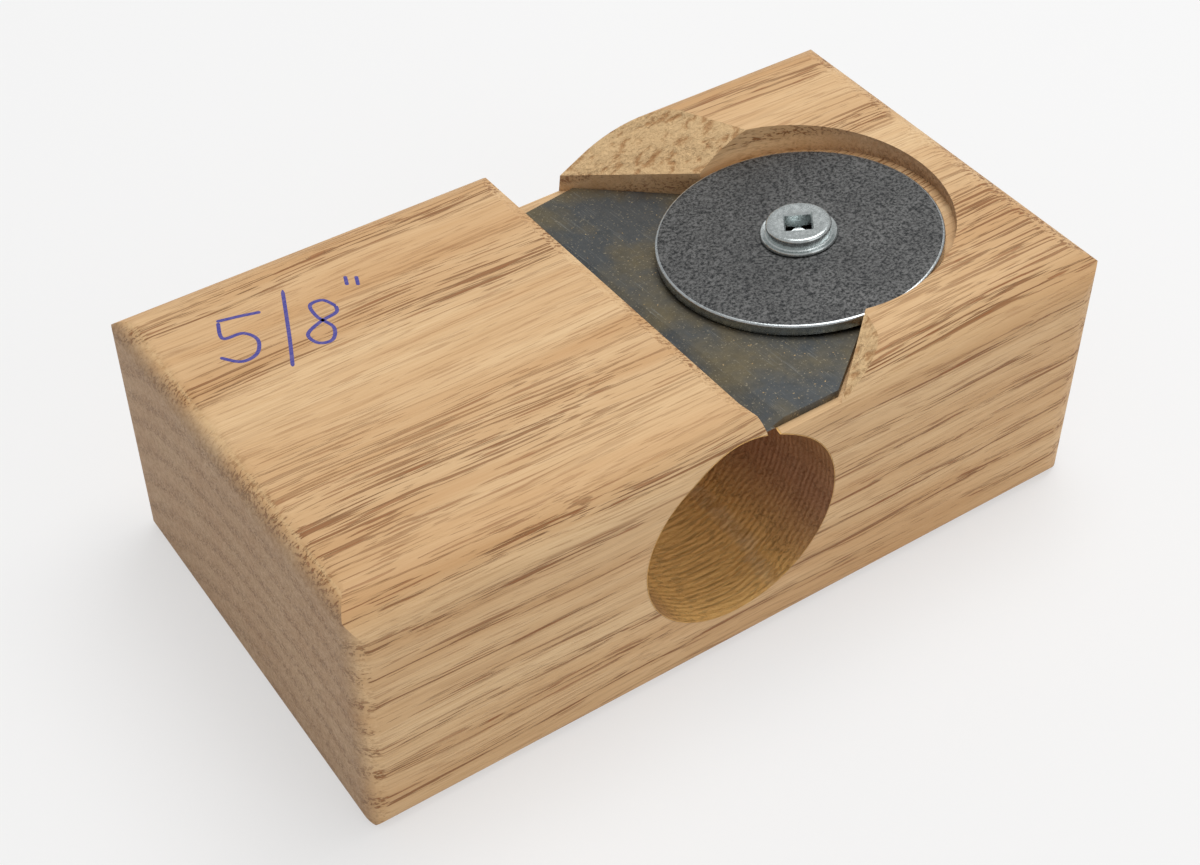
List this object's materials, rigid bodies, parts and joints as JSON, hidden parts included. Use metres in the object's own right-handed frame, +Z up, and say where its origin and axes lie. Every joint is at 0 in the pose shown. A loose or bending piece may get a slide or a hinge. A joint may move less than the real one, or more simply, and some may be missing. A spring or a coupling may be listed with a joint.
{
  "type": "dowel maker",
  "caption": "Hand-held rounding plane for dowels: an oak block with a tapered hole, a flat steel cutter bedded over it, and a clamping washer and screw.",
  "frame": {"origin": "middle of the block's footprint, at the height that it stands on", "axes": "+X along the grain, from the plain end to the clamp's end; +Y along the tapered hole, from the wide mouth to the outlet; +Z up"},
  "size_m": [0.113, 0.063, 0.0381],
  "materials": {
    "oak": "sanded oak, bare",
    "blade_steel": "dark tool steel, ground by hand",
    "zinc_washer": "dull zinc plate, speckled",
    "zinc_screw": "bright zinc plate"
  },
  "bodies": {
    "block": {"body_block": "oak"},
    "blade": {"cutter_blade": "blade_steel"},
    "clamp": {"clamp_washer": "zinc_washer"},
    "screw": {"clamp_screw": "zinc_screw"}
  },
  "joints": [
    {"name": "blade_adjust", "type": "slide", "parent": "block", "child": "blade", "axis": [0.9999, 0, 0.014], "range_m": [0, 0.0007]},
    {"name": "clamp_lift", "type": "slide", "parent": "block", "child": "clamp", "axis": [-0.0748, 0.0748, 0.9944], "range_m": [0, 0.002]},
    {"name": "screw_turn", "type": "hinge", "parent": "clamp", "child": "screw", "pos_m": [0.027, -0.0032, 0.03415], "axis": [-0.0748, 0.0748, 0.9944], "range_deg": [0, 430]}
  ],
  "couplings": [
    {"joint": "screw_turn", "follows": "clamp_lift", "rad_per_m": 3696}
  ]
}
